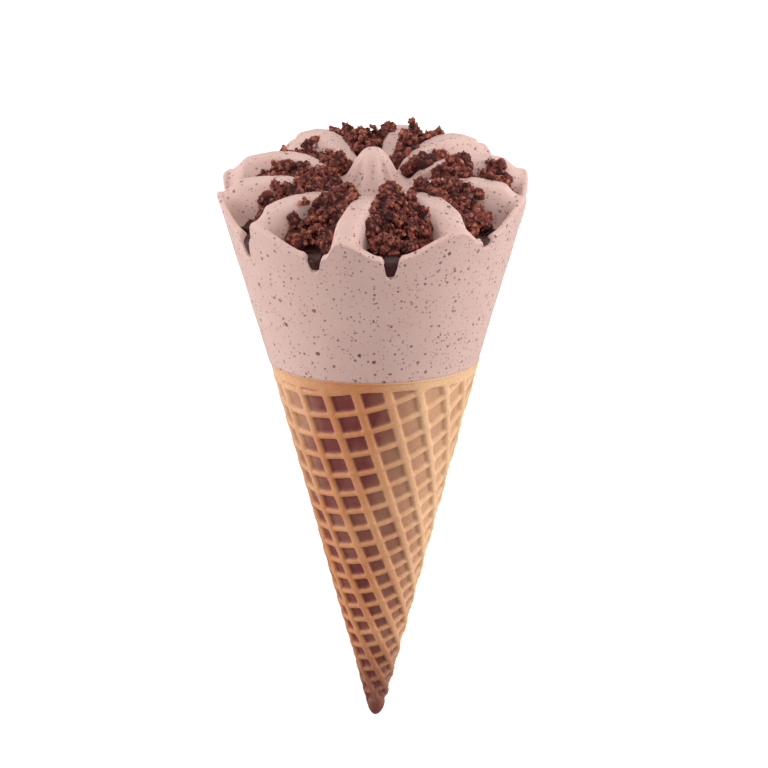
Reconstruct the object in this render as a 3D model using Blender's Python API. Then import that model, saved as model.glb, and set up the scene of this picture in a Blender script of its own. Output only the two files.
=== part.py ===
"""A moulded ice cream cone: rolled wafer, speckled ice cream with ten petals, sauce and brownie pieces.

The cone can't stand, so it lies on its side on a narrow flat. Each piece is worked out upright, with the
tip at the origin and the axis on +Z, and an empty then lays the whole cone down along +Y, front side up.
"""

import math
import random

import bpy
import bmesh
from mathutils import Matrix, Vector

# The cone that the wafer and the ice cream share, in metres
TIP_RADIUS = 0.0013
TAPER = 0.265
FLARE = 0.026
WAFER_HEIGHT = 0.0808
RIM_HEIGHT = 0.1190
FLAT_DEPTH = 0.0005
# Slopes: the wafer's rim is highest at the front, the moulded top is lowest at the front left
RIM_LEAN = 0.012
TOP_LEAN = 0.088
SIDE_LEAN = 0.016

# Wafer
WAFER_WALL = 0.0019
LAP_STEP = 0.0008
LAP_ANGLE = 215
LAP_REACH = 0.3
TIP_NOSE = 0.0022
SOLID_TIP = 0.012
WAFER_COLUMNS = 48

# Ice cream: heights are counted from the rim plane, distances across a channel from its middle
CREST_PLACE = 0.60
CREST_REACH = 0.42
RIDGE_CREST = 0.0015
RIDGE_FOOT = 0.0042
NOSE_START = 0.0072
NOSE_END = 0.0105
MOAT_LEVEL = 0.0003
CHANNEL_DROP = 0.0073
CHANNEL_END = 0.028
PEAK_HEIGHT = 0.0080
PEAK_RADIUS = 0.0037
PEAK_POWER = 4.4
LIP_START = 0.86
LIP_END = 0.975
LIP_DROP = 0.0040
SLOT_FLAT = 0.0010
SLOT_HALF = 0.0021
EDGE_ROUND = 0.0009
TOP_RINGS = (0.975, 0.93, 0.88, 0.80, 0.70, 0.58, 0.46, 0.36, 0.30, 0.23, 0.16, 0.11, 0.06)

# Sauce and brownie pieces
SAUCE_DEPTH = 0.0012
SAUCE_LEVEL = -0.0047
SAUCE_FILM = 0.0002
SAUCE_RINGS = slice(1, 7)
GAP = 0.0003
TUCK = 0.0012

# Ridge angles round the axis in degrees, from the front towards the right, with each ridge's twist
# from the centre to the rim, and its crest's height
RIDGES = (
    (-9, -11, 0.0032), (40, -15, 0.0024), (73, 10, 0.0032), (103, 3, 0.0042), (137, -3, 0.0046),
    (164, 4, 0.0048), (208, 3, 0.0050), (248, 10, 0.0046), (280, -20, 0.0034), (310, -6, 0.0028),
)
# Channels between one ridge and the next: notch angle, notch depth
CHANNELS = (
    ("front", 7, 0.0087), ("front_right", 50, 0.0060), ("right", 88, 0.0078),
    ("right_back", 121, 0.0070), ("back_right", 151, 0.0080), ("back", 187, 0.0074),
    ("back_left", 227, 0.0082), ("left_back", 262, 0.0070), ("left", 300, 0.0090),
    ("front_left", 336, 0.0077),
)
# Brownie pieces: name, channel, place along it from and to in shares of the rim radius,
# share of the channel's width, height over the sauce
BROWNIES = (
    ("brownie_front", 0, 0.30, 0.90, 0.92, 0.0060),
    ("brownie_front_right", 1, 0.34, 0.90, 0.96, 0.0060),
    ("brownie_right_inner", 2, 0.42, 0.66, 0.98, 0.0095),
    ("brownie_right_outer", 2, 0.67, 0.91, 0.95, 0.0086),
    ("brownie_right_back", 3, 0.28, 0.62, 0.95, 0.0052),
    ("brownie_back_right", 4, 0.34, 0.90, 0.95, 0.0086),
    ("brownie_back", 5, 0.32, 0.86, 0.92, 0.0086),
    ("brownie_back_left_inner", 6, 0.28, 0.52, 0.95, 0.0046),
    ("brownie_back_left_outer", 6, 0.54, 0.84, 0.92, 0.0068),
    ("brownie_left_back", 7, 0.30, 0.92, 0.94, 0.0072),
    ("brownie_left", 8, 0.30, 0.84, 0.95, 0.0058),
    ("brownie_front_left", 9, 0.32, 0.90, 0.95, 0.0058),
)


def smooth_step(low, high, value):
    share = min(1.0, max(0.0, (value - low) / (high - low)))
    return share * share * (3 - 2 * share)


def cone_radius(height):
    """Radius of the shared cone at a height over the tip; over the wafer it flares a little more."""
    return TIP_RADIUS + TAPER * height + FLARE * max(0.0, height - WAFER_HEIGHT)


RIM_RADIUS = cone_radius(RIM_HEIGHT)


def around(radius, angle, height):
    """Point at an angle in radians from the front, which is -Y, towards the right, which is +X."""
    return Vector((radius * math.sin(angle), -radius * math.cos(angle), height))


def ridge_angle(index, radius):
    angle, twist, _ = RIDGES[index % len(RIDGES)]
    turn = 360 * (index // len(RIDGES))
    return math.radians(angle + turn + twist * (radius / RIM_RADIUS - 0.6))


def channel_angle(channel, across, radius):
    """Angle of a place across a channel: -1 on one ridge, 0 on the line to the notch, 1 on the next ridge."""
    before = ridge_angle(channel, radius)
    after = ridge_angle(channel + 1, radius)
    notch = math.radians(CHANNELS[channel][1])
    middle = (before + after) / 2
    middle += (notch - middle) * smooth_step(0.55, 0.95, radius / RIM_RADIUS)
    return middle + across * ((after - middle) if across > 0 else (middle - before))


def half_width(channel, across, radius):
    """Distance from a channel's middle line to the ridge on the side of that place."""
    side = 1 if across > 0 else -1
    return abs(channel_angle(channel, side, radius) - channel_angle(channel, 0, radius)) * radius


def edge_height(channel, across):
    """Height of the outer wall's edge: round on the ridges, sloping in to a narrow notch."""
    reach = half_width(channel, across, RIM_RADIUS)
    distance = abs(across) * reach
    slope = min(1.0, max(0.0, (distance - SLOT_HALF) / (reach - SLOT_HALF)))
    lip = -LIP_DROP * (1 - smooth_step(0, 1, slope**0.8))
    depth = -CHANNELS[channel][2]
    return depth + (lip - depth) * smooth_step(SLOT_FLAT, SLOT_HALF, distance)


def floor_height(radius):
    share = min(1.0, max(0.0, (radius - NOSE_START) / (CHANNEL_END - NOSE_START)))
    return MOAT_LEVEL - CHANNEL_DROP * share**1.2


def crest_height(ridge, radius):
    gain = RIDGES[ridge % len(RIDGES)][2]
    return gain * (1 - ((radius / RIM_RADIUS - CREST_PLACE) / CREST_REACH) ** 2)


def lean_at(point):
    """How much a place on the leaning top lies over the level one."""
    return TOP_LEAN * point.y + SIDE_LEAN * point.x


def peak_height(radius):
    return PEAK_HEIGHT / (1 + (radius / PEAK_RADIUS) ** PEAK_POWER)


def top_height(channel, across, radius, share):
    """Height of the moulded top over the rim plane; share is the radius over the edge's radius."""
    floor = floor_height(radius)
    from_ridge = (1 - abs(across)) * half_width(channel, across, radius)
    foot = min(RIDGE_FOOT, 0.75 * half_width(channel, across, radius))
    rise = 1 - smooth_step(foot * RIDGE_CREST / RIDGE_FOOT, foot, from_ridge)
    rise *= smooth_step(NOSE_START, NOSE_END, radius)
    crest = crest_height(channel + 1 if across > 0 else channel, radius)
    inner = floor + (crest - floor) * rise
    lip = smooth_step(LIP_START, LIP_END, share)
    return inner + (edge_height(channel, across) - inner) * lip + peak_height(radius)


def edge_rise(channel, across):
    """Height over the tip of the outer wall's edge."""
    rim = around(RIM_RADIUS, channel_angle(channel, across, RIM_RADIUS), 0)
    return RIM_HEIGHT + edge_height(channel, across) + lean_at(rim)


def edge_radius(channel, across):
    return cone_radius(edge_rise(channel, across))


def top_point(channel, across, share):
    radius = share * edge_radius(channel, across)
    point = around(radius, channel_angle(channel, across, radius), RIM_HEIGHT)
    point.z += top_height(channel, across, radius, share) + lean_at(point)
    return point


def floor_matrix():
    """Lays the upright cone on its back side, with its flat at height 0 and its axis in the YZ plane."""
    half_angle = math.atan(TAPER)
    drop = TIP_RADIUS * math.cos(half_angle) - FLAT_DEPTH
    return Matrix.Translation((0, 0, drop)) @ Matrix.Rotation(half_angle - math.pi / 2, 4, "X")


LAY_DOWN = floor_matrix()


def flattened(point):
    """The point, moved up to the floor if the lying cone would reach below it."""
    laid = LAY_DOWN @ point
    laid.z = max(0.0, laid.z)
    return LAY_DOWN.inverted() @ laid


def make_material(name, colour, roughness):
    material = bpy.data.materials.new(name)
    material.use_nodes = True
    shader = material.node_tree.nodes["Principled BSDF"]
    shader.inputs["Base Color"].default_value = (*colour, 1)
    shader.inputs["Roughness"].default_value = roughness
    shader.inputs["Metallic"].default_value = 0
    return material


def loft(loops):
    """Points and faces of a closed skin through loops of points; a loop of one point is a pole."""
    points = [point for loop in loops for point in loop]
    faces = []
    first = 0
    for lower, upper in zip(loops, loops[1:]):
        second = first + len(lower)
        for i in range(max(len(lower), len(upper))):
            corners = [
                first + i % len(lower),
                first + (i + 1) % len(lower),
                second + (i + 1) % len(upper),
                second + i % len(upper),
            ]
            faces.append(list(dict.fromkeys(corners)))
        first = second
    return points, faces


def slab(bottom, top):
    """Points and faces of a closed layer between two grids of points, as lists of rows."""
    rows, columns = len(bottom), len(bottom[0])
    points = [point for grid in (bottom, top) for row in grid for point in row]
    above = rows * columns
    faces = []
    for row in range(rows - 1):
        for column in range(columns - 1):
            i = row * columns + column
            quad = [i, i + 1, i + 1 + columns, i + columns]
            faces += [quad, [above + corner for corner in quad]]
    ends = [range(columns), range(above - columns, above)]
    sides = [range(0, above, columns), range(columns - 1, above, columns)]
    for line in ends + sides:
        for i, j in zip(line, line[1:]):
            faces.append([i, j, above + j, above + i])
    return points, faces


def make_solid(name, skin, material, collection):
    points, faces = skin
    shape = bmesh.new()
    corners = [shape.verts.new(flattened(point)) for point in points]
    for face in faces:
        shape.faces.new([corners[i] for i in face])
    bmesh.ops.recalc_face_normals(shape, faces=shape.faces)
    mesh = bpy.data.meshes.new(name)
    shape.to_mesh(mesh)
    shape.free()
    mesh.shade_smooth()
    mesh.set_sharp_from_angle(angle=math.radians(40))
    mesh.materials.append(material)
    solid = bpy.data.objects.new(name, mesh)
    collection.objects.link(solid)
    return solid


def leaning(height, angle):
    """Height over the tip of a place on the wafer, whose rim is highest at the front."""
    return height * (1 + RIM_LEAN * math.cos(angle))


def inside_wafer(height, angle, gap):
    place = leaning(height, angle)
    return around(cone_radius(place) - LAP_STEP - WAFER_WALL - gap, angle, place)


def wafer_loops():
    """Outer side from the tip up, over the rim and down the inside; the lap runs along one line."""
    start = math.radians(LAP_ANGLE)
    turns = [i / WAFER_COLUMNS for i in range(WAFER_COLUMNS + 1)]
    angles = [start + 2 * math.pi * turn for turn in turns]

    def outer(height):
        loop = []
        for turn, angle in zip(turns, angles):
            place = leaning(height, angle)
            line = cone_radius(place)
            if height < TIP_NOSE:
                line *= math.sqrt(1 - (1 - height / TIP_NOSE) ** 2)
            step = min(LAP_STEP, 0.3 * line) * max(0.0, 1 - turn / LAP_REACH)
            loop.append(around(line - step, angle, place))
        return loop

    def inner(height):
        return [inside_wafer(height, angle, 0) for angle in angles]

    nose = [TIP_NOSE * share for share in (0.12, 0.4, 1.0)]
    rise = [TIP_NOSE + (WAFER_HEIGHT - TIP_NOSE) * i / 5 for i in range(1, 6)]
    outside = [outer(height) for height in nose + rise]
    inside = [inner(height) for height in (WAFER_HEIGHT, 0.045, SOLID_TIP)]
    return [[Vector((0, 0, 0))], *outside, *inside, [Vector((0, 0, SOLID_TIP - 0.001))]]


def across_steps(channel, side):
    """Places across one side of a channel, close together at the notch's edge."""
    reach = half_width(channel, side, RIM_RADIUS)
    edge = SLOT_HALF / reach
    return [SLOT_FLAT / reach, edge] + [edge + (1 - edge) * share for share in (0.16, 0.42, 0.66, 0.84)]


def ring_places():
    """(channel, place across) all round the top, ridge after ridge."""
    places = []
    for channel in range(len(CHANNELS)):
        left = [-step for step in reversed(across_steps(channel, -1))]
        places += [(channel, across) for across in [-1, *left, 0, *across_steps(channel, 1)]]
    return places


def ice_cream_loops():
    """From the plug's end in the wafer, out over the wafer's rim, up the wall and in over the petals."""
    places = ring_places()
    angles = [channel_angle(channel, across, RIM_RADIUS) for channel, across in places]

    loops = [[Vector((0, 0, SOLID_TIP + GAP))]]
    for height in (SOLID_TIP + 0.002, WAFER_HEIGHT + GAP):
        loops.append([inside_wafer(height, angle, GAP) for angle in angles])
    for share in (0.0, 0.5, 1.0):
        wall = []
        for (channel, across), angle in zip(places, angles):
            base = leaning(WAFER_HEIGHT + GAP, angle)
            height = base + (edge_rise(channel, across) - EDGE_ROUND - base) * share
            wall.append(around(cone_radius(height), angle, height))
        loops.append(wall)
    for share in TOP_RINGS:
        loops.append([top_point(channel, across, share) for channel, across in places])
    return loops + [[Vector((0, 0, RIM_HEIGHT + MOAT_LEVEL + PEAK_HEIGHT))]]


def sauce_level(point):
    """Height of the sauce over or under a point: a layer on the sloping floor, a pool at the notch."""
    height = max(floor_height(math.hypot(point.x, point.y)) + SAUCE_DEPTH, SAUCE_LEVEL)
    return RIM_HEIGHT + height + lean_at(point)


def facet_point(channel, across, share):
    """Point on the ice cream's facets, between the two nearest of its own points on a ring."""
    side = 1 if across > 0 else -1
    steps = [0.0, *across_steps(channel, side), 1.0]
    distance = min(1.0, abs(across))
    upper = next(i for i, step in enumerate(steps) if i and step >= distance)
    part = (distance - steps[upper - 1]) / (steps[upper] - steps[upper - 1])
    start = top_point(channel, side * steps[upper - 1], share)
    return start.lerp(top_point(channel, side * steps[upper], share), part)


def sauce_grids(channel):
    """Bottom and top of the sauce in one channel, over the ice cream's own points."""
    left, right = [across_steps(channel, side)[:3] for side in (-1, 1)]
    places = [-step for step in reversed(left)] + [0] + right
    bottom = []
    top = []
    for share in TOP_RINGS[SAUCE_RINGS]:
        ground = [top_point(channel, across, share) for across in places]
        bottom.append([point + Vector((0, 0, GAP)) for point in ground])
        row = []
        for point in ground:
            level = max(sauce_level(point), point.z + GAP + SAUCE_FILM)
            row.append(Vector((point.x, point.y, level)))
        top.append(row)
    return bottom, top


def brownie_loops(spec, order):
    """A lumpy cushion that fills its stretch of the channel from just over the sauce."""
    _, channel, start, end, width, height = spec
    lumps = random.Random(order)
    sectors, rings = 12, (0.5, 0.88)

    def place(ring, sector):
        turn = 2 * math.pi * sector / sectors
        along = math.sin(turn) * ring
        sideways = math.cos(turn) * ring
        share = (start + end) / 2 + along * (end - start) / 2
        side = 1 if sideways > 0 else -1
        return share, sideways * width * brownie_reach(channel, side, share)

    def ground(share, across):
        point = facet_point(channel, across, share)
        point.z = max(point.z, sauce_level(point)) + TUCK
        return point

    def skin(ring, sector, lift):
        share, across = place(ring, sector)
        point = ground(share, across)
        point.z += lift * height * math.sqrt(1 - ring**4) * lumps.uniform(0.72, 1.12)
        return point

    edge = [ground(*place(1, sector)) for sector in range(sectors)]
    under = [[skin(ring, sector, 0) for sector in range(sectors)] for ring in rings]
    over = [[skin(ring, sector, 1) for sector in range(sectors)] for ring in reversed(rings)]
    return [[skin(0, 0, 0)], *under, edge, *over, [skin(0, 0, 1)]]


def brownie_reach(channel, side, share):
    """Place across a channel up to which the ridge's side stays low enough to take a brownie."""
    radius = share * edge_radius(channel, 0)
    reach = half_width(channel, side, radius)
    foot = min(RIDGE_FOOT, 0.75 * reach)
    return max(0.2, 1 - 0.62 * foot / reach)


def build():
    for left_over in list(bpy.data.objects):
        bpy.data.objects.remove(left_over, do_unlink=True)
    collection = bpy.data.collections.new("ice_cream_cone")
    bpy.context.scene.collection.children.link(collection)

    wafer = make_material("wafer", (0.52, 0.25, 0.10), 0.65)
    cream = make_material("ice_cream", (0.60, 0.42, 0.36), 0.5)
    sauce = make_material("chocolate_sauce", (0.035, 0.012, 0.011), 0.25)
    brownie = make_material("brownie", (0.10, 0.030, 0.020), 0.85)

    solids = [
        make_solid("wafer_cone", loft(wafer_loops()), wafer, collection),
        make_solid("ice_cream", loft(ice_cream_loops()), cream, collection),
    ]
    for channel, (name, *_) in enumerate(CHANNELS):
        layer = slab(*sauce_grids(channel))
        solids.append(make_solid(f"sauce_{name}", layer, sauce, collection))
    for order, spec in enumerate(BROWNIES):
        cushion = loft(brownie_loops(spec, order))
        solids.append(make_solid(spec[0], cushion, brownie, collection))

    axis = bpy.data.objects.new("cone_axis", None)
    collection.objects.link(axis)
    for solid in solids:
        solid.parent = axis
    laid = [LAY_DOWN @ vertex.co for solid in solids for vertex in solid.data.vertices]
    low = Vector((min(point.x for point in laid), min(point.y for point in laid), 0))
    high = Vector((max(point.x for point in laid), max(point.y for point in laid), 0))
    axis.matrix_world = Matrix.Translation(-(low + high) / 2) @ LAY_DOWN


build()
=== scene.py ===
import math
import random

import bmesh
import bpy
import numpy as np
from mathutils import Matrix, Vector


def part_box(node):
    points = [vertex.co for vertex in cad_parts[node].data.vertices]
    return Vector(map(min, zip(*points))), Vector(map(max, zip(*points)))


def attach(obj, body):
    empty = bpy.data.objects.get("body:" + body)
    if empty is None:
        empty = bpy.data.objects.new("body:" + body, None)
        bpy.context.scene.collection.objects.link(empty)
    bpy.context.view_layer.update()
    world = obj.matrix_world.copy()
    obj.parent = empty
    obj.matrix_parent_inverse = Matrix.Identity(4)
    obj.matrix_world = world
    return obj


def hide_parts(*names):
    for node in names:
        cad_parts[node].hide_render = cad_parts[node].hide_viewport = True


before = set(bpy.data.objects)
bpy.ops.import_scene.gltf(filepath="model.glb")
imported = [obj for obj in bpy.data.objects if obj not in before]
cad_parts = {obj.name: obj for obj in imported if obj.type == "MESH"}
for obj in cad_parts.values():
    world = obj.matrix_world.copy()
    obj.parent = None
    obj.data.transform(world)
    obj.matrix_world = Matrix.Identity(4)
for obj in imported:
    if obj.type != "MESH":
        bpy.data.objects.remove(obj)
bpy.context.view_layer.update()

# Everything is worked out in millimetres on the upright cone, with its tip at the origin and its axis
# along Z, and then laid down on its back. Angles count from the front towards the right.
cone = {
    "tipRadius": 1.3,
    "taper": 0.265,
    "waferHeight": 80.8,
    "flare": 0.026,        # the ice cream opens a little more than the wafer
    "rimHeight": 119.0,
    "flatDepth": 0.5,
    "rimLean": 0.012,      # the wafer's rim is highest at the front
    "topLean": 0.088,      # the moulded top is lowest at the front left
    "sideLean": 0.016,
    "axisX": 0.093,
}
halfAngle = math.atan(cone["taper"])
tipPlace = Vector((
    cone["axisX"],
    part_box("wafer_cone")[0].y * 1000,
    cone["tipRadius"] * math.cos(halfAngle) - cone["flatDepth"],
))


def layDown(points):
    # upright millimetres to the frame's metres; what would go under the floor is pressed flat
    x, y, z = points[:, 0], points[:, 1], points[:, 2]
    c, s = math.cos(halfAngle), math.sin(halfAngle)
    laid = np.stack([x + tipPlace.x, y * s + z * c + tipPlace.y, z * s - y * c + tipPlace.z], 1)
    laid[:, 2] = np.maximum(laid[:, 2], 0.0)
    return laid / 1000


def coneRadius(height):
    above = np.maximum(0, height - cone["waferHeight"])
    return cone["tipRadius"] + cone["taper"] * height + cone["flare"] * above


def leanAt(points):
    # how much a place on the leaning top lies over the level one
    return cone["topLean"] * points[..., 1] + cone["sideLean"] * points[..., 0]


def around(radius, angle, height):
    return np.stack([radius * np.sin(angle), -radius * np.cos(angle), height + 0 * angle], -1)


def smoothStep(low, high, value):
    share = np.clip((value - low) / (high - low), 0, 1)
    return share * share * (3 - 2 * share)


def lumps(points, size, seed):
    # smooth noise from -1 to 1, with lumps of about this size in millimetres
    cells = points / size
    base = np.floor(cells).astype(np.int64)
    part = cells - base
    part = part * part * (3 - 2 * part)
    total = np.zeros(len(points))
    for corner in range(8):
        step = np.array([corner & 1, corner >> 1 & 1, corner >> 2 & 1])
        key = (base + step) @ np.array([73856093, 19349663, 83492791]) + seed * 15485863
        key = (key ^ (key >> 13)) * 1274126177
        value = ((key ^ (key >> 16)) & 0xFFFF) / 32767.5 - 1
        total += value * np.prod(np.where(step, part, 1 - part), axis=1)
    return total


def gridFaces(rows, columns, wrap=True):
    i = np.arange(rows - 1)[:, None] * columns
    across = columns if wrap else columns - 1
    j = np.arange(across)[None, :]
    k = (j + 1) % columns
    return np.stack([i + j, i + k, i + columns + k, i + columns + j], -1).reshape(-1, 4)


def makePiece(name, points, faces, material, laid=True):
    mesh = bpy.data.meshes.new(name)
    place = layDown(points) if laid else points
    mesh.from_pydata(place.tolist(), [], [list(dict.fromkeys(face)) for face in faces])
    mesh.validate()
    mesh.shade_smooth()
    mesh.materials.append(material)
    piece = bpy.data.objects.new(name, mesh)
    bpy.context.scene.collection.objects.link(piece)
    return piece


def linear(code, alpha=1.0):
    values = [int(code[i:i + 2], 16) / 255 for i in (1, 3, 5)]
    return [v / 12.92 if v <= 0.04045 else ((v + 0.055) / 1.055) ** 2.4 for v in values] + [alpha]


def addNode(tree, kind, links=None, settings=None, values=None):
    node = tree.nodes.new(kind)
    for name, value in (settings or {}).items():
        setattr(node, name, value)
    for name, value in (values or {}).items():
        node.inputs[name].default_value = value
    for name, socket in (links or {}).items():
        tree.links.new(socket, node.inputs[name])
    return node


def work(tree, operation, *terms, clamp=False):
    node = addNode(tree, "ShaderNodeMath", settings={"operation": operation, "use_clamp": clamp})
    for i, term in enumerate(terms):
        if isinstance(term, (int, float)):
            node.inputs[i].default_value = term
        else:
            tree.links.new(term, node.inputs[i])
    return node.outputs[0]


def newMaterial(name):
    material = bpy.data.materials.new(name)
    material.use_nodes = True
    tree = material.node_tree
    return material, tree, tree.nodes["Principled BSDF"]


creamLook = {
    "base": "#DEBDB3", "shade": "#D4AEA4", "darkSpeck": "#4A353C", "redSpeck": "#8A4A40",
    "smoothest": 0.38, "roughest": 0.60, "subsurface": 0.15, "subsurfaceScale": 0.002,
}


def frozenCream():
    # churned dairy ice cream, moulded and frozen: an even satin skin, ground cocoa and cookie specks
    # show as fine dark and reddish dots, and small air pits break the gloss
    material, tree, shader = newMaterial("frozen_dairy_ice_cream")
    place = addNode(tree, "ShaderNodeTexCoord").outputs["Object"]
    soft = addNode(tree, "ShaderNodeTexNoise", {"Vector": place}, values={"Scale": 160.0, "Detail": 3.0})
    colour = addNode(tree, "ShaderNodeMix", {"Factor": soft.outputs["Fac"]}, {"data_type": "RGBA"})
    colour.inputs[6].default_value = linear(creamLook["shade"])
    colour.inputs[7].default_value = linear(creamLook["base"])
    last = colour.outputs[2]
    # more specks towards the right of the front
    side = addNode(tree, "ShaderNodeSeparateXYZ", {"Vector": place}).outputs["X"]
    crowd = addNode(tree, "ShaderNodeMapRange", {"Value": side},
                    values={"From Min": -0.030, "From Max": 0.028, "To Min": 0.55, "To Max": 1.0})
    # spacing in metres, usual radius as a share of it, share of the places that hold a speck, tint, strength
    layers = (
        (0.0031, 0.17, 0.42, "darkSpeck", 0.85), (0.0022, 0.19, 0.50, "redSpeck", 0.80),
        (0.0015, 0.21, 0.75, "darkSpeck", 0.70), (0.0010, 0.25, 0.75, "darkSpeck", 0.60),
        (0.0007, 0.27, 0.60, "redSpeck", 0.45),
    )
    for spacing, reach, crowding, tint, strength in layers:
        cells = addNode(tree, "ShaderNodeTexVoronoi", {"Vector": place}, values={"Scale": 1 / spacing})
        chance = addNode(tree, "ShaderNodeSeparateColor", {"Color": cells.outputs["Color"]})
        held = work(tree, "MULTIPLY", crowd.outputs[0], crowding)
        here = work(tree, "LESS_THAN", chance.outputs[0], held)
        size = work(tree, "MULTIPLY_ADD", chance.outputs[1], reach * 0.8, reach * 0.5)
        wobble = addNode(tree, "ShaderNodeTexNoise", {"Vector": place}, values={"Scale": 2.5 / spacing})
        ragged = work(tree, "MULTIPLY_ADD", wobble.outputs["Fac"], -reach * 1.6, reach * 0.8)
        inside = work(tree, "SUBTRACT", work(tree, "ADD", size, ragged), cells.outputs["Distance"])
        shown = work(tree, "MULTIPLY", inside, 1 / (reach * 0.35), clamp=True)
        faint = work(tree, "MULTIPLY", work(tree, "MULTIPLY", shown, here), strength)
        mix = addNode(tree, "ShaderNodeMix", {"Factor": faint, 6: last}, {"data_type": "RGBA"})
        mix.inputs[7].default_value = linear(creamLook[tint])
        last = mix.outputs[2]
    tree.links.new(last, shader.inputs["Base Color"])
    gloss = addNode(tree, "ShaderNodeTexNoise", {"Vector": place}, values={"Scale": 700.0, "Detail": 2.0})
    sheen = addNode(tree, "ShaderNodeMapRange", {"Value": gloss.outputs["Fac"]},
                    values={"To Min": creamLook["smoothest"], "To Max": creamLook["roughest"]})
    tree.links.new(sheen.outputs[0], shader.inputs["Roughness"])
    # air pits of about half a millimetre over a fine grain
    pits = addNode(tree, "ShaderNodeTexVoronoi", {"Vector": place}, values={"Scale": 1300.0})
    pit = addNode(tree, "ShaderNodeMapRange", {"Value": pits.outputs["Distance"]},
                  values={"From Min": 0.0, "From Max": 0.28, "To Min": -0.5, "To Max": 0.0})
    grain = addNode(tree, "ShaderNodeTexNoise", {"Vector": place}, values={"Scale": 2200.0, "Detail": 4.0})
    relief = work(tree, "ADD", pit.outputs[0], grain.outputs["Fac"])
    bump = addNode(tree, "ShaderNodeBump", {"Height": relief},
                   values={"Strength": 0.25, "Distance": 0.00012})
    tree.links.new(bump.outputs[0], shader.inputs["Normal"])
    shader.inputs["Subsurface Weight"].default_value = creamLook["subsurface"]
    shader.inputs["Subsurface Radius"].default_value = (1.0, 0.5, 0.4)
    shader.inputs["Subsurface Scale"].default_value = creamLook["subsurfaceScale"]
    shader.inputs["IOR"].default_value = 1.4
    return material


# the two toast colours stand both for darker toasting and for painted shade along the middle of the front
waferLook = {
    "rib": "#EFC094", "ribToastAndShade": "#CF8858", "pit": "#D9A680", "pitToastAndShade": "#7A3531", "tip": "#74352F",
    "roughness": 0.55,
}


def bakedWafer():
    # thin sweet batter baked between irons and rolled hot: golden on the ribs, redder brown in the
    # pressed cells, faintly shiny from the fat, with a fine porous grain
    material, tree, shader = newMaterial("baked_wafer")
    place = addNode(tree, "ShaderNodeTexCoord").outputs["Object"]
    relief = addNode(tree, "ShaderNodeAttribute", settings={"attribute_name": "ribHeight"}).outputs["Fac"]
    # painted shade along the middle of the front, where the side lamps reach least, fading towards the sides,
    # with random uneven toasting over it; darker towards the tip
    split = addNode(tree, "ShaderNodeSeparateXYZ", {"Vector": place})
    cloudy = addNode(tree, "ShaderNodeTexNoise", {"Vector": place}, values={"Scale": 90.0, "Detail": 4.0})
    aside = work(tree, "ABSOLUTE", work(tree, "ADD", split.outputs["X"], 0.006))
    side = addNode(tree, "ShaderNodeMapRange", {"Value": aside},
                   values={"From Min": 0.004, "From Max": 0.017, "To Min": 1.0, "To Max": 0.05})
    uneven = work(tree, "MULTIPLY_ADD", cloudy.outputs["Fac"], 1.2, -0.6)
    toastAndShade = work(tree, "ADD", side.outputs[0], uneven, clamp=True)
    towardsTip = addNode(tree, "ShaderNodeMapRange", {"Value": split.outputs["Y"]},
                    values={"From Min": -0.064, "From Max": -0.046, "To Min": 1.0, "To Max": 0.0})

    def blend(share, first, second):
        mix = addNode(tree, "ShaderNodeMix", {"Factor": share}, {"data_type": "RGBA"})
        for socket, given in ((6, first), (7, second)):
            if isinstance(given, str):
                mix.inputs[socket].default_value = linear(waferLook[given])
            else:
                tree.links.new(given, mix.inputs[socket])
        return mix.outputs[2]

    shift = addNode(tree, "ShaderNodeMapRange", {"Value": relief}, values={"From Min": 0.1, "From Max": 0.7})
    # the toast colours come in with random toasting and with the painted shade along the middle of the front
    grid = blend(shift.outputs[0], blend(toastAndShade, "pit", "pitToastAndShade"), blend(toastAndShade, "rib", "ribToastAndShade"))
    colour = blend(towardsTip.outputs[0], grid, "tip")
    grain = addNode(tree, "ShaderNodeTexNoise", {"Vector": place},
                    values={"Scale": 1500.0, "Detail": 5.0, "Roughness": 0.6})
    fleck = addNode(tree, "ShaderNodeMapRange", {"Value": grain.outputs["Fac"]},
                    values={"From Min": 0.3, "From Max": 0.7, "To Min": 0.9, "To Max": 1.08})
    tinted = addNode(tree, "ShaderNodeVectorMath", {0: colour, 1: fleck.outputs[0]},
                     {"operation": "MULTIPLY"})
    tree.links.new(tinted.outputs[0], shader.inputs["Base Color"])
    bump = addNode(tree, "ShaderNodeBump", {"Height": grain.outputs["Fac"]},
                   values={"Strength": 0.35, "Distance": 0.00012})
    tree.links.new(bump.outputs[0], shader.inputs["Normal"])
    shader.inputs["Roughness"].default_value = waferLook["roughness"]
    shader.inputs["Subsurface Weight"].default_value = 0.1
    shader.inputs["Subsurface Radius"].default_value = (1.0, 0.45, 0.2)
    shader.inputs["Subsurface Scale"].default_value = 0.0015
    shader.inputs["IOR"].default_value = 1.45
    return material


sauceLook = {"base": "#3B1A16", "smoothest": 0.30, "roughest": 0.50}


def chocolateSauce():
    # set chocolate syrup: nearly black brown with a wet, slightly uneven gloss
    material, tree, shader = newMaterial("chocolate_sauce")
    place = addNode(tree, "ShaderNodeTexCoord").outputs["Object"]
    shader.inputs["Base Color"].default_value = linear(sauceLook["base"])
    uneven = addNode(tree, "ShaderNodeTexNoise", {"Vector": place}, values={"Scale": 400.0, "Detail": 2.0})
    gloss = addNode(tree, "ShaderNodeMapRange", {"Value": uneven.outputs["Fac"]},
                    values={"To Min": sauceLook["smoothest"], "To Max": sauceLook["roughest"]})
    tree.links.new(gloss.outputs[0], shader.inputs["Roughness"])
    bump = addNode(tree, "ShaderNodeBump", {"Height": uneven.outputs["Fac"]},
                   values={"Strength": 0.15, "Distance": 0.0003})
    tree.links.new(bump.outputs[0], shader.inputs["Normal"])
    shader.inputs["IOR"].default_value = 1.36
    return material


brownieLook = {
    "darkAndShade": "#3A1917", "brown": "#7E3C32", "orangeAndHighlight": "#C07357", "roughness": 0.8,
}


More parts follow.
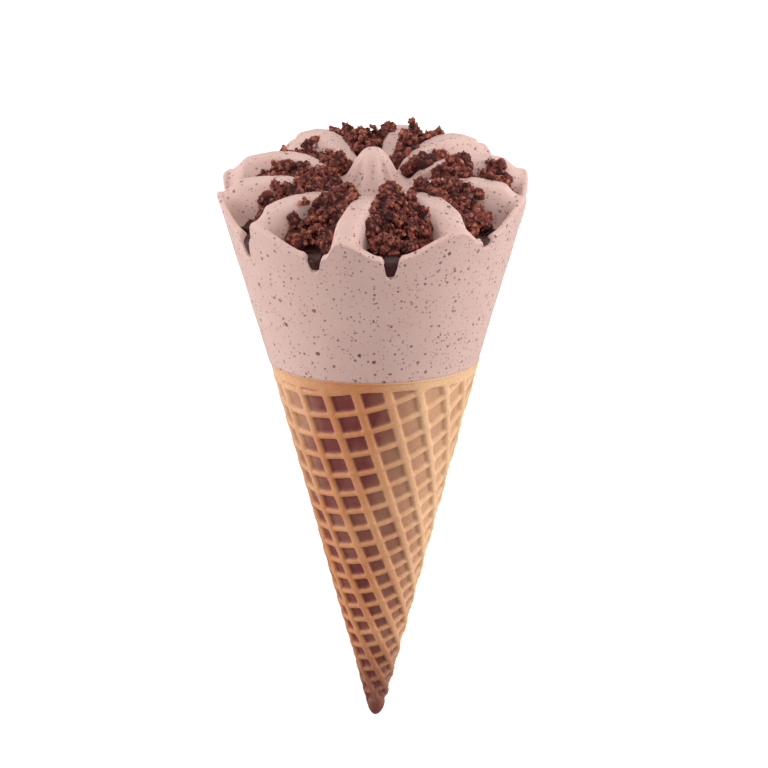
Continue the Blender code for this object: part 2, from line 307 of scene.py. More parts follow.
def bakedBrownie():
    # torn chocolate sponge: dark moist crumb of random tone, painted darker in its hollows as shade, with
    # painted orange-brown highlights on proud places and on the loose grains
    material, tree, shader = newMaterial("baked_brownie")
    place = addNode(tree, "ShaderNodeTexCoord").outputs["Object"]
    proud = addNode(tree, "ShaderNodeAttribute", settings={"attribute_name": "proud"}).outputs["Fac"]
    broad = addNode(tree, "ShaderNodeTexNoise", {"Vector": place}, values={"Scale": 330.0, "Detail": 3.0})
    fine = addNode(tree, "ShaderNodeTexNoise", {"Vector": place}, values={"Scale": 1300.0, "Detail": 3.0})
    tone = work(tree, "ADD", broad.outputs["Fac"], fine.outputs["Fac"])
    # proud places are painted lighter, towards orange brown, as highlight, and hollows darker as shade
    toneAndPaintedLight = addNode(tree, "ShaderNodeMapRange", {"Value": work(tree, "MULTIPLY_ADD", proud, 0.5, tone)},
                   values={"From Min": 0.85, "From Max": 1.75})
    ramp = addNode(tree, "ShaderNodeValToRGB", {"Fac": toneAndPaintedLight.outputs[0]})
    stops = ramp.color_ramp.elements
    stops[0].position, stops[0].color = 0.12, linear(brownieLook["darkAndShade"])
    stops[1].position, stops[1].color = 0.85, linear(brownieLook["orangeAndHighlight"])
    stops.new(0.42).color = linear(brownieLook["brown"])
    tree.links.new(ramp.outputs[0], shader.inputs["Base Color"])
    bump = addNode(tree, "ShaderNodeBump", {"Height": fine.outputs["Fac"]},
                   values={"Strength": 0.5, "Distance": 0.0002})
    tree.links.new(bump.outputs[0], shader.inputs["Normal"])
    shader.inputs["Roughness"].default_value = brownieLook["roughness"]
    shader.inputs["IOR"].default_value = 1.4
    return material


creamMaterial = frozenCream()
waferMaterial = bakedWafer()
sauceMaterial = chocolateSauce()
brownieMaterial = bakedBrownie()
print("materials made")

# ridge angles in degrees, each with its twist from the centre to the rim and its crest's height
ridges = (
    (-9, -11, 3.2), (40, -15, 2.4), (73, 10, 3.2), (103, 3, 4.2), (137, -3, 4.6),
    (164, 4, 4.8), (208, 3, 5.0), (248, 10, 4.6), (280, -20, 3.4), (310, -6, 2.8),
)
# channels between one ridge and the next: notch angle, notch depth
channels = (
    ("front", 7, 8.7), ("front_right", 50, 6.0), ("right", 88, 7.8), ("right_back", 121, 7.0),
    ("back_right", 151, 8.0), ("back", 187, 7.4), ("back_left", 227, 8.2), ("left_back", 262, 7.0),
    ("left", 300, 9.0), ("front_left", 336, 7.7),
)
top = {
    "crestPlace": 0.60, "crestReach": 0.42, "ridgeCrest": 1.9, "ridgeFoot": 4.3,
    "noseStart": 6.8, "noseEnd": 10.6, "moatLevel": 0.3, "channelDrop": 7.3, "channelEnd": 28.0,
    "peakHeight": 8.0, "peakRadius": 3.7, "peakPower": 4.8, "skirt": 0.9,
    "lipStart": 0.86, "lipEnd": 0.975, "lipDrop": 3.9, "slotFlat": 1.2, "slotHalf": 3.1, "edgeRound": 1.0,
    "columns": 40, "wallRows": 58, "topRows": 132,
}
rimRadius = coneRadius(cone["rimHeight"])


def ridgeAngle(index, radius):
    angle = np.array([ridges[i % 10][0] + 360 * (i // 10) for i in range(11)], float)[index]
    twist = np.array([ridges[i % 10][1] for i in range(11)], float)[index]
    return np.radians(angle + twist * (radius / rimRadius - 0.6))


def channelAngle(channel, across, radius):
    # across a channel: -1 on one ridge, 0 on the line to the notch, 1 on the next ridge
    before, after = ridgeAngle(channel, radius), ridgeAngle(channel + 1, radius)
    notch = np.radians(np.array([c[1] for c in channels], float))[channel]
    middle = (before + after) / 2
    middle = middle + (notch - middle) * smoothStep(0.55, 0.95, radius / rimRadius)
    return middle + across * np.where(across > 0, after - middle, middle - before)


def halfWidth(channel, across, radius):
    side = np.where(across > 0, 1.0, -1.0)
    return np.abs(channelAngle(channel, side, radius) - channelAngle(channel, 0 * side, radius)) * radius


def edgeHeight(channel, across):
    reach = halfWidth(channel, across, rimRadius + 0 * across)
    distance = np.abs(across) * reach
    slope = np.clip((distance - top["slotHalf"]) / (reach - top["slotHalf"]), 0, 1)
    lip = -top["lipDrop"] * (1 - smoothStep(0, 1, slope**0.8))
    depth = -np.array([c[2] for c in channels], float)[channel]
    # a notch with a round bottom and steep sides that turn over in a round shoulder
    beside = np.clip((distance - top["slotFlat"]) / (top["slotHalf"] - top["slotFlat"]), 0, 1)
    bottom = 0.16 * np.clip(distance / top["slotFlat"], 0, 1) ** 2.5
    return depth + (lip - depth) * (bottom + (1 - 0.16) * (1 - (1 - beside) ** 3.2))


def floorHeight(radius):
    share = np.clip((radius - top["noseStart"]) / (top["channelEnd"] - top["noseStart"]), 0, 1)
    return top["moatLevel"] - top["channelDrop"] * share**1.2


def crestHeight(ridge, radius):
    gain = np.array([ridges[i % 10][2] for i in range(11)])[ridge]
    return gain * (1 - ((radius / rimRadius - top["crestPlace"]) / top["crestReach"]) ** 2)


def topHeight(channel, across, radius, share, angle):
    ground = floorHeight(radius)
    width = halfWidth(channel, across, radius)
    fromRidge = (1 - np.abs(across)) * width
    foot = np.minimum(top["ridgeFoot"], 0.75 * width)
    rise = 1 - smoothStep(foot * top["ridgeCrest"] / top["ridgeFoot"], foot, fromRidge)
    rise = rise * smoothStep(top["noseStart"], top["noseEnd"], radius)
    inner = ground + (crestHeight(np.where(across > 0, channel + 1, channel), radius) - ground) * rise
    lip = smoothStep(top["lipStart"], top["lipEnd"], share)
    # soft flutes on the foot of the peak
    flute = 1 + 0.11 * np.cos(10 * angle + 0.6) * smoothStep(2.2, 4.5, radius)
    peak = top["peakHeight"] / (1 + (radius * flute / top["peakRadius"]) ** top["peakPower"])
    peak = peak + top["skirt"] * (smoothStep(2.0, 4.0, radius) - smoothStep(4.5, 8.0, radius * flute))
    return inner + (edgeHeight(channel, across) - inner) * lip + peak


def edgeRise(channel, across):
    rim = around(rimRadius, channelAngle(channel, across, rimRadius + 0 * across), 0)
    return cone["rimHeight"] + edgeHeight(channel, across) + leanAt(rim)


def topPoint(channel, across, share):
    radius = share * coneRadius(edgeRise(channel, across))
    angle = channelAngle(channel, across, radius)
    points = around(radius, angle, 0 * angle)
    height = topHeight(channel, across, radius, share, angle)
    points[..., 2] = cone["rimHeight"] + height + leanAt(points)
    return points


def makeCream():
    columns = top["columns"]
    t = np.linspace(-1, 1, columns, endpoint=False)
    step = t * (0.55 + 0.45 * np.abs(t) ** 1.3)     # closer together at the notches
    across = np.tile(step, 10)
    channel = np.repeat(np.arange(10), columns)
    angle = channelAngle(channel, across, rimRadius + 0 * across)
    edge = edgeRise(channel, across)
    base = (cone["waferHeight"] - 0.3) * (1 + cone["rimLean"] * np.cos(angle))
    rings = [around(coneRadius(base - 6) - 3.5, angle, base - 6), around(coneRadius(base) - 3.2, angle, base)]
    # the wall: out over the wafer's rim, then straight up to the rounded top edge
    rings.append(around(coneRadius(base) - 0.9, angle, base))
    for share in np.linspace(0, 1, top["wallRows"]):
        height = base + 0.25 + (edge - top["edgeRound"] - base - 0.25) * share
        rings.append(around(coneRadius(height) - 0.15 * (1 - share), angle, height))
    edgeRadius = coneRadius(edge)
    for turn in np.linspace(0, 1, 7)[1:-1]:
        lean = turn * math.pi / 2
        rings.append(around(edgeRadius - top["edgeRound"] * (1 - math.cos(lean)) - 0.12 * (1 - turn), angle,
                            edge - top["edgeRound"] * (1 - math.sin(lean))))
    start = 1 - top["edgeRound"] / rimRadius
    for share in start * (1 - np.linspace(0, 1, top["topRows"])[:-1] ** 1.15):
        rings.append(topPoint(channel, across, share + 0 * across))
    points = np.concatenate(rings)
    first = around(np.zeros(1), np.zeros(1), base.mean() - 6)
    last = np.array([[0, 0, cone["rimHeight"] + top["moatLevel"] + top["peakHeight"]]])
    count = len(across)
    upward = smoothStep(112, 116, points[:, 2:3]) * np.array([[0, 0, 1.0]])
    swell = 0.13 * lumps(points, 7.0, 3) + 0.06 * lumps(points, 2.6, 4)
    radial = points * np.array([1, 1, 0]) / np.maximum(1, np.hypot(points[:, 0], points[:, 1]))[:, None]
    points = points + swell[:, None] * (0.7 * radial + 0.5 * upward)
    faces = gridFaces(len(rings), count).tolist()
    points = np.concatenate([points, first, last])
    end = len(rings) * count
    for i in range(count):
        faces.append([end, (i + 1) % count, i])
        faces.append([end + 1, end - count + i, end - count + (i + 1) % count])
    return makePiece("ice_cream_moulded", points, faces, creamMaterial)


cream = makeCream()
print("ice cream", len(cream.data.polygons))

sauce = {
    "depth": 1.2, "level": -4.7, "thickness": 1.6, "meniscus": 0.35, "recess": 0.55,
    "rows": 46, "columns": 26,
}


def sauceLevel(points):
    radius = np.hypot(points[..., 0], points[..., 1])
    height = np.maximum(floorHeight(radius) + sauce["depth"], sauce["level"])
    return cone["rimHeight"] + height + leanAt(points)


def makeSauce(index):
    name = channels[index][0]
    across = np.linspace(-0.66, 0.66, sauce["columns"])
    pick = np.full(len(across), index)
    grid = []
    for share in np.linspace(0.30, 0.93, sauce["rows"]):
        narrow = across * (1 - 0.45 * smoothStep(0.80, 0.93, share))
        points = topPoint(pick, narrow, share + 0 * across)
        level = sauceLevel(points)
        climb = sauce["meniscus"] * smoothStep(-1.1, 0.2, points[:, 2] - level)
        points[:, 2] = level + climb + 0.10 * lumps(points, 3.0, 20 + index)
        grid.append(points)
    # over the notch and down its open side, just inside the wall
    edgeAngles = channelAngle(pick, across * 0.30, rimRadius + 0 * across)
    level = cone["rimHeight"] + sauce["level"] + leanAt(around(29.0, edgeAngles, 0))
    depth = channels[index][2] - 0.6
    for turn in np.linspace(0, 1, 12):
        drop = turn * (depth + sauce["level"]) + 0.9 * smoothStep(0, 1, turn)
        inset = sauce["recess"] + 2.2 * (1 - math.sin(min(1, 2.2 * turn) * math.pi / 2))
        bulge = 0.25 * math.sin(math.pi * turn) - 0.6 * (across / 0.66) ** 2
        height = level - drop
        grid.append(around(coneRadius(height) - inset + bulge, edgeAngles, height))
    topSide = np.array(grid)
    under = topSide.copy()
    inward = smoothStep(0, 8, np.arange(len(grid)) - sauce["rows"] + 2)[:, None]
    under[..., 2] -= sauce["thickness"] * (1 - inward) + 0.4 * inward
    shrink = 1 - 0.07 * inward
    under[..., 0] *= shrink
    under[..., 1] *= shrink
    rows, columns = topSide.shape[:2]
    points = np.concatenate([topSide.reshape(-1, 3), under.reshape(-1, 3)])
    upper = gridFaces(rows, columns, False)
    lower = upper[:, ::-1] + rows * columns
    faces = upper.tolist() + lower.tolist()
    far = rows * columns
    ring = [i for i in range(columns)] + [(r + 1) * columns - 1 for r in range(1, rows)]
    ring += [(rows - 1) * columns + c for c in range(columns - 2, -1, -1)]
    ring += [r * columns for r in range(rows - 2, 0, -1)]
    for i, j in zip(ring, ring[1:] + ring[:1]):
        faces.append([j, i, far + i, far + j])
    piece = makePiece("sauce_pool_" + name, points, faces, sauceMaterial)
    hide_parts("sauce_" + name)
    return piece


sauces = [makeSauce(i) for i in range(10)]
print("sauce pools", len(sauces))

# name, channel, place along it from and to in shares of the radius, width, height over the sauce
brownies = (
    ("brownie_front", 0, 0.30, 0.89, 0.95, 5.8),
    ("brownie_front_right", 1, 0.33, 0.89, 1.0, 5.6),
    ("brownie_right_inner", 2, 0.40, 0.66, 1.05, 8.4),
    ("brownie_right_outer", 2, 0.66, 0.90, 1.05, 7.6),
    ("brownie_right_back", 3, 0.26, 0.62, 1.0, 4.6),
    ("brownie_back_right", 4, 0.34, 0.88, 1.0, 9.0),
    ("brownie_back", 5, 0.30, 0.84, 1.05, 8.8),
    ("brownie_back_left_inner", 6, 0.24, 0.54, 1.0, 4.6),
    ("brownie_back_left_outer", 6, 0.54, 0.84, 1.0, 6.6),
    ("brownie_left_back", 7, 0.26, 0.90, 1.0, 4.6),
    ("brownie_left", 8, 0.28, 0.82, 1.0, 5.2),
    ("brownie_front_left", 9, 0.30, 0.88, 1.0, 5.6),
)
crumb = {"voxel": 0.00024, "ragged": 0.26, "loosePerMm": 1.3, "looseSize": 0.27}


def icoShape(level):
    shape = bmesh.new()
    bmesh.ops.create_icosphere(shape, subdivisions=level, radius=1)
    shape.verts.ensure_lookup_table()
    points = np.array([v.co for v in shape.verts])
    faces = np.array([[v.index for v in f.verts] for f in shape.faces])
    shape.free()
    return points, faces


grainPoints, grainFaces = icoShape(2)


def makeBrownie(spec, order):
    name, channel, start, end, width, height = spec
    dice = random.Random(50 + order)
    pick = np.array([channel])
    allPoints, allFaces, count = [], [], 0
    length = (end - start) * 30
    spread = length * 8 * width
    # number of lumps, their smallest and largest size, and how low and high they sit in the piece
    plan = [(int(spread * 0.26), 1.30, 2.0, 0.0, 0.62), (int(spread * 1.0), 0.72, 1.20, 0.22, 0.88),
            (int(spread * 2.2), 0.34, 0.68, 0.45, 0.94)]
    for number, small, large, low, high in plan:
        for _ in range(number):
            turn = dice.uniform(0, 2 * math.pi)
            ring = math.sqrt(dice.random()) * 0.98
            along, sideways = math.sin(turn) * ring, math.cos(turn) * ring
            # squarer than an oval, so that a piece fills its channel
            stretch = 1 + 0.18 * (1 - abs(abs(math.sin(turn)) - abs(math.cos(turn))))
            share = (start + end) / 2 + along * stretch * (end - start) / 2
            side = 1.0 if sideways > 0 else -1.0
            radius = share * rimRadius
            reach = float(halfWidth(pick, np.array([side]), np.array([radius]))[0])
            foot = min(top["ridgeFoot"], 0.75 * reach)
            fit = max(0.2, 1 - 0.60 * foot / reach)
            across = sideways * stretch * width * fit
            place = topPoint(pick, np.array([across]), np.array([share]))[0]
            ground = max(place[2], float(sauceLevel(place)))
            dome = math.sqrt(max(0.0, 1 - ring**6))
            size = dice.uniform(small, large)
            crag = 0.85 + 0.28 * float(lumps(np.array([place * np.array([1, 1, 0])]), 2.4, 90 + order)[0])
            place[2] = ground - 0.2 + height * dome * crag * dice.uniform(low, high)
            jag = 1 + 0.35 * lumps(grainPoints * size + place * 7, 0.8, 7)
            squash = np.array([dice.uniform(0.75, 1.2) for _ in range(3)])
            allPoints.append(grainPoints * squash * size * jag[:, None] + place)
            allFaces.append(grainFaces + count)
            count += len(grainPoints)
    points, faces = np.concatenate(allPoints), np.concatenate(allFaces)
    piece = makePiece(name + "_crumb", points, faces.tolist(), brownieMaterial)
    remesh = piece.modifiers.new("together", "REMESH")
    remesh.mode = "VOXEL"
    remesh.voxel_size = crumb["voxel"]
    remesh.use_smooth_shade = True
    view = bpy.context.evaluated_depsgraph_get()
    mesh = bpy.data.meshes.new_from_object(piece.evaluated_get(view))
    piece.modifiers.clear()
    piece.data = mesh
    # ragged, porous surface, and how far each place stands proud of its neighbours
    place = np.zeros(len(mesh.vertices) * 3)
    mesh.vertices.foreach_get("co", place)
    place = place.reshape(-1, 3) * 1000
    normals = np.zeros(len(mesh.vertices) * 3)
    mesh.vertices.foreach_get("normal", normals)
    normals = normals.reshape(-1, 3)
    rough = lumps(place, 0.9, 11) + 0.6 * lumps(place, 0.5, 12)
    moved = place + normals * (crumb["ragged"] * rough)[:, None]
    moved[:, 2] = np.maximum(moved[:, 2], 0.0)
    mesh.vertices.foreach_set("co", (moved / 1000).ravel())
    edges = np.zeros(len(mesh.edges) * 2, np.int64)
    mesh.edges.foreach_get("vertices", edges)
    edges = edges.reshape(-1, 2)
    smooth = moved.copy()
    for _ in range(6):
        total = np.zeros_like(smooth)
        number = np.zeros(len(smooth))
        for a, b in ((0, 1), (1, 0)):
            np.add.at(total, edges[:, a], smooth[edges[:, b]])
            np.add.at(number, edges[:, a], 1)
        smooth = total / number[:, None]
    # this value drives the painted shade in the hollows and the painted orange highlight on proud places
    proud = np.sum((moved - smooth) * normals, axis=1) / 0.25
    layer = mesh.attributes.new("proud", "FLOAT", "POINT")
    layer.data.foreach_set("value", np.clip(proud, -1, 1).astype(np.float32))
    mesh.materials.clear()
    mesh.materials.append(brownieMaterial)
    return piece


def looseCrumbTree():
    # grains of crumb stuck all over a piece
    tree = bpy.data.node_groups.new("looseCrumbs", "GeometryNodeTree")
    face = tree.interface
    face.new_socket("Geometry", in_out="INPUT", socket_type="NodeSocketGeometry")
    for label in ("Grains per square metre", "Grain size"):
        face.new_socket(label, in_out="INPUT", socket_type="NodeSocketFloat")
    face.new_socket("Seed", in_out="INPUT", socket_type="NodeSocketInt")
    face.new_socket("Material", in_out="INPUT", socket_type="NodeSocketMaterial")
    face.new_socket("Geometry", in_out="OUTPUT", socket_type="NodeSocketGeometry")
    given = addNode(tree, "NodeGroupInput").outputs
    spots = addNode(tree, "GeometryNodeDistributePointsOnFaces",
                    {"Mesh": given["Geometry"], "Density": given["Grains per square metre"],
                     "Seed": given["Seed"]})
    ball = addNode(tree, "GeometryNodeMeshIcoSphere", {"Radius": given["Grain size"]},
                   values={"Subdivisions": 2})
    bend = addNode(tree, "ShaderNodeTexNoise", values={"Scale": 2200.0, "Detail": 0.0})
    push = addNode(tree, "ShaderNodeVectorMath", {0: bend.outputs["Color"]},
                   {"operation": "SUBTRACT"}, {1: (0.5, 0.5, 0.5)})
    jag = addNode(tree, "ShaderNodeVectorMath", {0: push.outputs[0]},
                  {"operation": "SCALE"}, {"Scale": 0.0007})
    grain = addNode(tree, "GeometryNodeSetPosition", {"Geometry": ball.outputs[0], "Offset": jag.outputs[0]})
    turn = addNode(tree, "FunctionNodeRandomValue", {"Seed": given["Seed"]}, {"data_type": "FLOAT_VECTOR"})
    turn.inputs[1].default_value = (6.28, 6.28, 6.28)
    size = addNode(tree, "FunctionNodeRandomValue", {"Seed": given["Seed"]}, {"data_type": "FLOAT_VECTOR"})
    size.inputs[0].default_value = (0.45, 0.45, 0.45)
    size.inputs[1].default_value = (1.5, 1.3, 1.2)
    strewn = addNode(tree, "GeometryNodeInstanceOnPoints",
                     {"Points": spots.outputs[0], "Instance": grain.outputs[0],
                      "Rotation": turn.outputs[0], "Scale": size.outputs[0]})
    real = addNode(tree, "GeometryNodeRealizeInstances", {"Geometry": strewn.outputs[0]})
    # the loose grains get random proud values from 0 to 0.9, which the material paints as lighter orange
    # highlight
    lit = addNode(tree, "GeometryNodeStoreNamedAttribute", {"Geometry": real.outputs[0]},
                  {"data_type": "FLOAT"}, {"Name": "proud"})
    tone = addNode(tree, "FunctionNodeRandomValue", {"Seed": given["Seed"]}, {"data_type": "FLOAT"})
    tone.inputs[2].default_value, tone.inputs[3].default_value = 0.0, 0.9
    tree.links.new(tone.outputs[1], lit.inputs["Value"])
    both = addNode(tree, "GeometryNodeJoinGeometry")
    tree.links.new(given["Geometry"], both.inputs[0])
    tree.links.new(lit.outputs[0], both.inputs[0])
    skin = addNode(tree, "GeometryNodeSetMaterial",
                   {"Geometry": both.outputs[0], "Material": given["Material"]})
    smooth = addNode(tree, "GeometryNodeSetShadeSmooth", {"Geometry": skin.outputs[0]})
    addNode(tree, "NodeGroupOutput", {"Geometry": smooth.outputs[0]})
    return tree


def runTree(piece, tree, given):
    # sets the modifier's inputs by identifier, then turns the result into a plain mesh
    modifier = piece.modifiers.new(tree.name, "NODES")
    modifier.node_group = tree
    for item in tree.interface.items_tree:
        if item.item_type == "SOCKET" and item.in_out == "INPUT" and item.name in given:
            modifier[item.identifier] = given[item.name]
    view = bpy.context.evaluated_depsgraph_get()
    mesh = bpy.data.meshes.new_from_object(piece.evaluated_get(view))
    piece.modifiers.remove(modifier)
    piece.data = mesh
    return piece


crumbTree = looseCrumbTree()
pieces = []
for order, spec in enumerate(brownies):
    piece = makeBrownie(spec, order)
    runTree(piece, crumbTree, {
        "Grains per square metre": crumb["loosePerMm"] * 1e6, "Grain size": crumb["looseSize"] / 1000,
        "Seed": 11 + order, "Material": brownieMaterial,
    })
    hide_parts(spec[0])
    pieces.append(piece)
print("brownie pieces", sum(len(piece.data.polygons) for piece in pieces))

wafer = {
    "columns": 384, "rows": 222, "lapStep": 0.8, "lapAngle": 215, "lapReach": 0.3, "wall": 2.0, "band": 2.7,
    "nose": 2.2, "usualPitch": 5.4, "pitDepth": 0.85, "ribFlat": 0.085, "ribFoot": 0.19,
    # the pressed grid on the unrolled sheet: its turn, its pitch at the tip and how it grows, and its place
    "turn": 15.8, "pitch": 2.917, "growth": 0.0482, "shift": 10.98, "fan": -0.1453,
    "rowShare": 0.776, "rowShift": 0.6,
}


def waferTree():
    # presses the grid of ribs and cells into the smooth rolled wafer, on the unrolled sheet's own places
    tree = bpy.data.node_groups.new("pressedGrid", "GeometryNodeTree")
    face = tree.interface
    face.new_socket("Geometry", in_out="INPUT", socket_type="NodeSocketGeometry")
    for label in ("Pitch at tip", "Growth", "Turn", "Shift", "Fan", "Row share", "Row shift",
                  "Rib flat", "Rib foot", "Depth"):
        face.new_socket(label, in_out="INPUT", socket_type="NodeSocketFloat")
    face.new_socket("Material", in_out="INPUT", socket_type="NodeSocketMaterial")
    face.new_socket("Geometry", in_out="OUTPUT", socket_type="NodeSocketGeometry")
    given = addNode(tree, "NodeGroupInput").outputs

    def read(name, kind="FLOAT"):
        node = addNode(tree, "GeometryNodeInputNamedAttribute", settings={"data_type": kind},
                       values={"Name": name})
        return node.outputs[0]

    sheetX, sheetY, pressed = read("sheetX"), read("sheetY"), read("pressed")
    cosine, sine = work(tree, "COSINE", given["Turn"]), work(tree, "SINE", given["Turn"])
    # along and across the grid on the unrolled sheet
    a = work(tree, "ADD", work(tree, "MULTIPLY", sheetX, cosine), work(tree, "MULTIPLY", sheetY, sine))
    b = work(tree, "SUBTRACT", work(tree, "MULTIPLY", sheetY, cosine), work(tree, "MULTIPLY", sheetX, sine))
    pitch = work(tree, "MULTIPLY_ADD", b, given["Growth"], given["Pitch at tip"])
    start = work(tree, "ADD", given["Shift"], work(tree, "MULTIPLY", b, given["Fan"]))
    column = work(tree, "DIVIDE", work(tree, "SUBTRACT", a, start), pitch)
    spread = work(tree, "MULTIPLY", given["Growth"], given["Row share"])
    rowStart = work(tree, "SUBTRACT", given["Row shift"], 0.5)
    row = work(tree, "DIVIDE", work(tree, "LOGARITHM", pitch, math.e), spread)
    row = work(tree, "SUBTRACT", row, rowStart)
    columnGap = work(tree, "ABSOLUTE", work(tree, "SUBTRACT", column, work(tree, "ROUND", column)))
    rowGap = work(tree, "ABSOLUTE", work(tree, "SUBTRACT", row, work(tree, "ROUND", row)))
    rowGap = work(tree, "MULTIPLY", rowGap, 0.85)

    # the ribs take a larger share of the pitch where the cells are small
    thick = work(tree, "POWER", work(tree, "DIVIDE", wafer["usualPitch"], pitch), 0.55)

    def rib(gap, share):
        share = work(tree, "MULTIPLY", thick, share)
        flat = work(tree, "MULTIPLY", given["Rib flat"], share)
        foot = work(tree, "MULTIPLY", given["Rib foot"], share)
        node = addNode(tree, "ShaderNodeMapRange", {"Value": gap, "From Min": flat, "From Max": foot},
                       {"interpolation_type": "SMOOTHSTEP"})
        node.inputs["To Min"].default_value, node.inputs["To Max"].default_value = 1.0, 0.0
        return node.outputs[0]

    ribs = work(tree, "MAXIMUM", rib(columnGap, 1.12), work(tree, "MULTIPLY", rib(rowGap, 0.92), 0.86))
    crossing = work(tree, "MULTIPLY", rib(columnGap, 1.3), rib(rowGap, 1.5))
    relief = work(tree, "MULTIPLY_ADD", crossing, 0.14, ribs)
    # outside the pressed part, such as the band at the rim, the face stays at the ribs' height
    height = work(tree, "ADD", work(tree, "MULTIPLY", work(tree, "SUBTRACT", relief, 1.0), pressed), 1.0)
    offset = work(tree, "MULTIPLY", work(tree, "SUBTRACT", height, 1.0), given["Depth"])
    offset = work(tree, "MULTIPLY", offset, 0.001)
    out = addNode(tree, "ShaderNodeVectorMath", {0: read("outward", "FLOAT_VECTOR")},
                  {"operation": "SCALE"})
    tree.links.new(offset, out.inputs["Scale"])
    moved = addNode(tree, "GeometryNodeSetPosition",
                    {"Geometry": given["Geometry"], "Offset": out.outputs[0]})
    stored = addNode(tree, "GeometryNodeStoreNamedAttribute", {"Geometry": moved.outputs[0], "Value": height},
                     {"data_type": "FLOAT"}, {"Name": "ribHeight"})
    real = addNode(tree, "GeometryNodeRealizeInstances", {"Geometry": stored.outputs[0]})
    skin = addNode(tree, "GeometryNodeSetMaterial",
                   {"Geometry": real.outputs[0], "Material": given["Material"]})
    addNode(tree, "NodeGroupOutput", {"Geometry": skin.outputs[0]})
    return tree


def makeWafer():
    count = wafer["columns"]
    turns = np.arange(count + 1) / count
    angles = np.radians(wafer["lapAngle"]) + 2 * math.pi * turns
    lean = 1 + cone["rimLean"] * np.cos(angles)
    lap = np.clip(1 - turns / wafer["lapReach"], 0, 1)
    rings, pressed, sheet = [], [], []
    apex = cone["tipRadius"] / cone["taper"]

    def addRing(radius, height, press):
        rings.append(around(radius, angles, height))
        pressed.append(press + 0 * angles)
        slant = (height + apex) / math.cos(halfAngle)
        wrapped = (angles + math.pi) % (2 * math.pi) - math.pi
        roll = wrapped * math.sin(halfAngle)
        sheet.append(np.stack([slant * np.sin(roll), slant * np.cos(roll)], -1))

    def outer(height):
        line = coneRadius(height)
        line = line * np.sqrt(1 - np.clip(1 - height / wafer["nose"], 0, 1) ** 2)
        return line - np.minimum(wafer["lapStep"], 0.3 * line) * lap

    wave = 0.25 * np.sin(2 * angles + 1) + 0.12 * np.sin(5 * angles)
    for share in np.linspace(0, 1, wafer["rows"])[1:]:
        height = cone["waferHeight"] * share * lean
        below = cone["waferHeight"] * lean - height
        press = smoothStep(wafer["band"] - 0.25, wafer["band"] + 0.25, below + wave)
        press = press * smoothStep(2.0, 5.0, height)
        addRing(outer(height), height - (0.35 if share == 1 else 0.0), press)
    for inset, drop in ((0.12, 0.1), (0.4, 0.0), (0.9, 0.0)):
        addRing(outer(cone["waferHeight"] * lean) - inset, cone["waferHeight"] * lean - drop, 0)
    for height in (80.0, 60.0, 40.0, 20.0, 12.0):
        addRing(coneRadius(height * lean) - wafer["lapStep"] - wafer["wall"], height * lean, 0)
    points = np.concatenate(rings)
    columns = count + 1
    faces = gridFaces(len(rings), columns, True).tolist()
    end = len(points)
    points = np.concatenate([points, [[0, 0, 0.0], [0, 0, 11.0]]])
    for i in range(columns):
        j = (i + 1) % columns
        faces.append([end, j, i])
        faces.append([end + 1, end - columns + i, end - columns + j])
    piece = makePiece("wafer_pressed", points, faces, waferMaterial)
    mesh = piece.data
    flat = np.concatenate([np.concatenate(sheet), [[0, 0], [0, 0]]])
    press = np.concatenate([np.concatenate(pressed), [0, 0]])
    c, s = math.cos(halfAngle), math.sin(halfAngle)
    ring = around(np.ones(columns) * c, angles, -s)
    x, y, z = np.concatenate([ring] * len(rings) + [np.zeros((2, 3))]).T
    outward = np.stack([x, y * s + z * c, z * s - y * c], 1)
    # no relief where the underside is pressed flat, so that it stays on the floor
    low = layDown(points)[:, 2]
    press = press * smoothStep(0.0, 0.0009, low)
    for name, values in (("sheetX", flat[:, 0]), ("sheetY", flat[:, 1]), ("pressed", press)):
        layer = mesh.attributes.new(name, "FLOAT", "POINT")
        layer.data.foreach_set("value", values.astype(np.float32))
    layer = mesh.attributes.new("outward", "FLOAT_VECTOR", "POINT")
    layer.data.foreach_set("vector", outward.astype(np.float32).ravel())
    return runTree(piece, waferTree(), {
        "Pitch at tip": wafer["pitch"], "Growth": wafer["growth"], "Turn": math.radians(wafer["turn"]),
        "Shift": wafer["shift"], "Fan": wafer["fan"], "Row share": wafer["rowShare"],
        "Row shift": wafer["rowShift"], "Rib flat": wafer["ribFlat"], "Rib foot": wafer["ribFoot"],
        "Depth": wafer["pitDepth"], "Material": waferMaterial,
    })


waferPiece = makeWafer()
print("wafer", len(waferPiece.data.polygons))

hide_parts("ice_cream")
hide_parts("wafer_cone")
slots = [(cream, "ice_cream"), (waferPiece, "wafer")]
slots += [(piece, "chocolate_sauce") for piece in sauces] + [(piece, "brownie") for piece in pieces]
for piece, slotName in slots:
    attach(piece, "root")

stage = {
    "elevation": 17.0, "distance": 3.0, "lens": 655.0, "aimX": 2.17, "aimAlong": 74.7, "roll": -0.26,
    "floorSize": 3.0, "worldLight": 0.30,
}
lamps = (
    # place in metres, size, watts
    ("lampRight", (0.55, 0.05, 0.20), 0.45, 2.5),
    ("lampLeft", (-0.55, 0.02, 0.18), 0.45, 2.5),
    ("lampTop", (0.05, 0.60, 0.30), 0.5, 1.7),
    ("lampOver", (0.0, 0.0, 0.9), 0.6, 1.0),
)


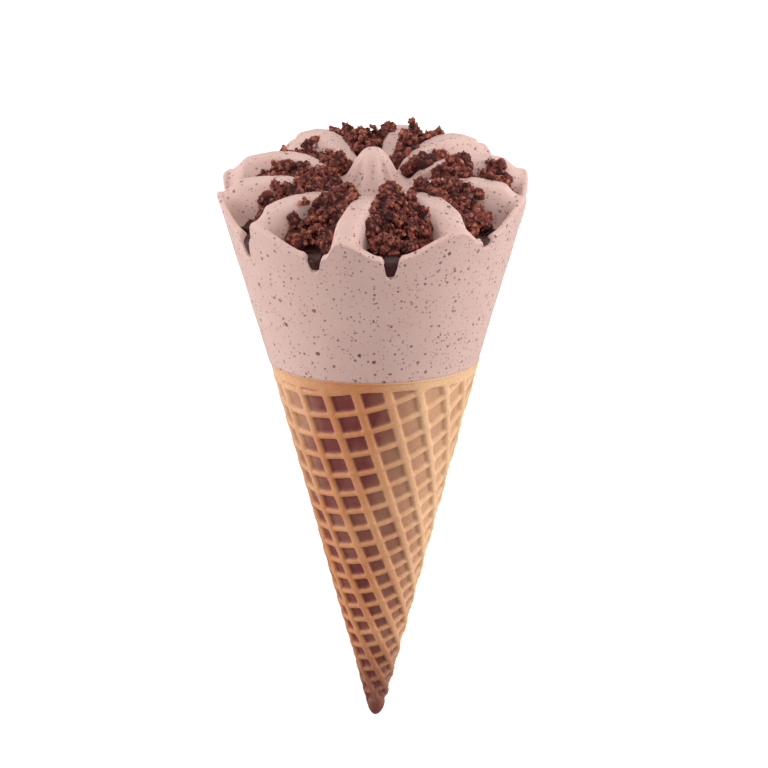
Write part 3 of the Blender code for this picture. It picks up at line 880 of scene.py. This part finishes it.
def makeFloor():
    half = stage["floorSize"] / 2
    corners = np.array([[-half, -half, 0], [half, -half, 0], [half, half, 0], [-half, half, 0]])
    material, tree, shader = newMaterial("white_paper_floor")
    shader.inputs["Base Color"].default_value = linear("#F4F4F4")
    shader.inputs["Roughness"].default_value = 0.9
    seen = addNode(tree, "ShaderNodeLightPath").outputs["Is Camera Ray"]
    glow = addNode(tree, "ShaderNodeEmission", values={"Strength": 0.72})
    plain = addNode(tree, "ShaderNodeAddShader")
    mixed = addNode(tree, "ShaderNodeMixShader", {"Fac": seen})
    tree.links.new(shader.outputs[0], plain.inputs[0])
    tree.links.new(glow.outputs[0], plain.inputs[1])
    tree.links.new(shader.outputs[0], mixed.inputs[1])
    tree.links.new(plain.outputs[0], mixed.inputs[2])
    tree.links.new(mixed.outputs[0], tree.nodes["Material Output"].inputs["Surface"])
    floor = makePiece("floor", corners, [[0, 1, 2, 3]], material, laid=False)


def makeLights():
    for name, place, size, watts in lamps:
        light = bpy.data.lights.new(name, "AREA")
        light.shape = "SQUARE"
        light.size = size
        light.energy = watts
        lamp = bpy.data.objects.new(name, light)
        lamp.location = place
        lamp.rotation_euler = (Vector((0, 0.01, 0.03)) - Vector(place)).to_track_quat("-Z", "Y").to_euler()
        bpy.context.scene.collection.objects.link(lamp)
    world = bpy.data.worlds.new("studio")
    world.use_nodes = True
    world.node_tree.nodes["Background"].inputs["Color"].default_value = (1, 1, 1, 1)
    world.node_tree.nodes["Background"].inputs["Strength"].default_value = stage["worldLight"]
    bpy.context.scene.world = world


def makeCamera():
    tilt = math.radians(stage["elevation"]) - halfAngle
    towards = Vector((0, math.sin(tilt), math.cos(tilt)))
    aim = layDown(np.array([[0.0, 0.0, stage["aimAlong"]]]))[0]
    camera = bpy.data.cameras.new("camera")
    camera.lens = stage["lens"]
    viewer = bpy.data.objects.new("camera", camera)
    viewer.location = Vector(aim) + Vector((stage["aimX"] / 1000, 0, 0)) + towards * stage["distance"]
    up = Vector((0, math.cos(tilt), -math.sin(tilt)))
    side = up.cross(towards)
    turned = Matrix((side, up, towards)).transposed() @ Matrix.Rotation(math.radians(stage["roll"]), 3, "Z")
    viewer.rotation_euler = turned.to_euler()
    bpy.context.scene.collection.objects.link(viewer)
    bpy.context.scene.camera = viewer


makeFloor()
makeLights()
makeCamera()
bpy.context.scene.view_settings.view_transform = "Standard"
print("floor, lights and camera made")
